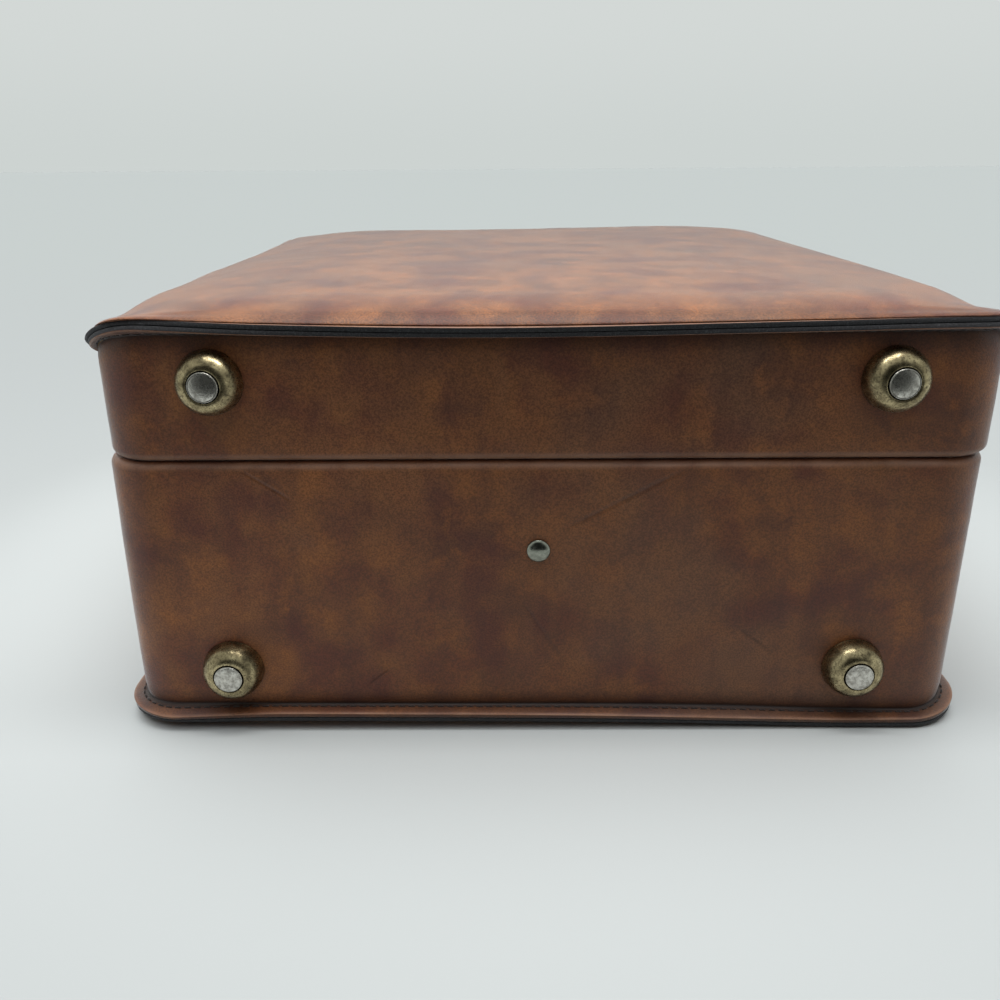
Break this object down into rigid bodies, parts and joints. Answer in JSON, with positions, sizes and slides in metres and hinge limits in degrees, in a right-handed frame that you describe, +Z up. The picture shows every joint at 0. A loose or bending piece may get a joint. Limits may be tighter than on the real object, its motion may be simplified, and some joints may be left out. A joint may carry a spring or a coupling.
{
  "type": "travel bar case",
  "caption": "Hard-sided leatherette travel bar case with padded faces, sewn welts, domed feet, hinged lid, latches, handle and a fitted bottle bay.",
  "frame": {"origin": "middle of the flat patch on the padded back that the case lies on", "axes": "+Z up through the closed lid, -Y towards the feet, +Y towards the handle, -X towards the hinges, +X towards the latches"},
  "size_m": [0.3208, 0.3848, 0.1558],
  "materials": {
    "leatherette": "satin, mottled brown, fine grain",
    "backing": "matt black cloth-backed vinyl edge",
    "plywood": "raw",
    "foam": "open foam",
    "lining": "flocked velour",
    "antique_brass": "antiqued, worn",
    "nickel": "worn nickel plate",
    "spring_steel": "plain",
    "elastic": "ribbed elastic"
  },
  "bodies": {
    "case_body": {"body_frame": "plywood", "body_back_board": "plywood", "body_back_pad": "foam", "body_back_cover": "leatherette", "body_welt": "backing", "body_side_cover": "leatherette", "body_floor_lining": "lining", "body_wall_lining": "lining", "body_foot_domes": "antique_brass", "body_foot_studs": "nickel", "body_foot_washers": "nickel", "divider_channel": "spring_steel", "divider_rivet": "nickel", "bottle_divider": "lining", "bottle_straps": "leatherette", "strap_rivets": "antique_brass", "strap_snap": "antique_brass", "body_hinge_leaves": "antique_brass", "hinge_pins": "antique_brass", "body_hinge_rivets": "antique_brass", "latch_plates": "antique_brass", "latch_housings": "antique_brass", "latch_rivets": "antique_brass", "catch_springs": "spring_steel", "slide_springs": "spring_steel", "handle_brackets": "antique_brass", "handle_bracket_rivets": "antique_brass"},
    "lid": {"lid_frame": "plywood", "lid_face_board": "plywood", "lid_face_pad": "foam", "lid_face_cover": "leatherette", "lid_welt": "backing", "lid_side_cover": "leatherette", "lid_ceiling_lining": "lining", "lid_wall_lining": "lining", "lid_foot_domes": "antique_brass", "lid_foot_studs": "nickel", "lid_foot_washers": "nickel", "tool_panel": "lining", "tool_loops": "elastic", "tool_loop_rivets": "antique_brass", "lid_hinge_leaves": "antique_brass", "lid_hinge_rivets": "antique_brass", "hasp_plates": "antique_brass", "hasp_plate_rivets": "antique_brass", "hasp_pins": "antique_brass"},
    "hasp_near": {"hasp_near": "antique_brass"},
    "hasp_far": {"hasp_far": "antique_brass"},
    "thumb_slide_near": {"thumb_slide_near": "antique_brass"},
    "thumb_slide_far": {"thumb_slide_far": "antique_brass"},
    "handle": {"handle_bail": "antique_brass", "handle_grip": "leatherette"}
  },
  "joints": [
    {"name": "lid_hinge", "type": "hinge", "parent": "case_body", "child": "lid", "pos_m": [-0.1551, 0, 0.10225], "axis": [0, -1, 0], "range_deg": [0, 170]},
    {"name": "hasp_near_hinge", "type": "hinge", "parent": "lid", "child": "hasp_near", "pos_m": [0.1559, -0.1, 0.1093], "axis": [0, -1, 0], "range_deg": [0, 110], "deforming": ["catch_springs"]},
    {"name": "hasp_far_hinge", "type": "hinge", "parent": "lid", "child": "hasp_far", "pos_m": [0.1559, 0.1, 0.1093], "axis": [0, -1, 0], "range_deg": [0, 110]},
    {"name": "thumb_slide_near_travel", "type": "slide", "parent": "case_body", "child": "thumb_slide_near", "axis": [0, -1, 0], "range_m": [0, 0.006], "stiffness_N_per_m": 150, "springref_m": -0.004, "deforming": ["slide_springs"]},
    {"name": "thumb_slide_far_travel", "type": "slide", "parent": "case_body", "child": "thumb_slide_far", "axis": [0, 1, 0], "range_m": [0, 0.006], "stiffness_N_per_m": 150, "springref_m": -0.004},
    {"name": "handle_hinge", "type": "hinge", "parent": "case_body", "child": "handle", "pos_m": [0, 0.189, 0.07], "axis": [1, 0, 0], "range_deg": [0, 180]}
  ]
}
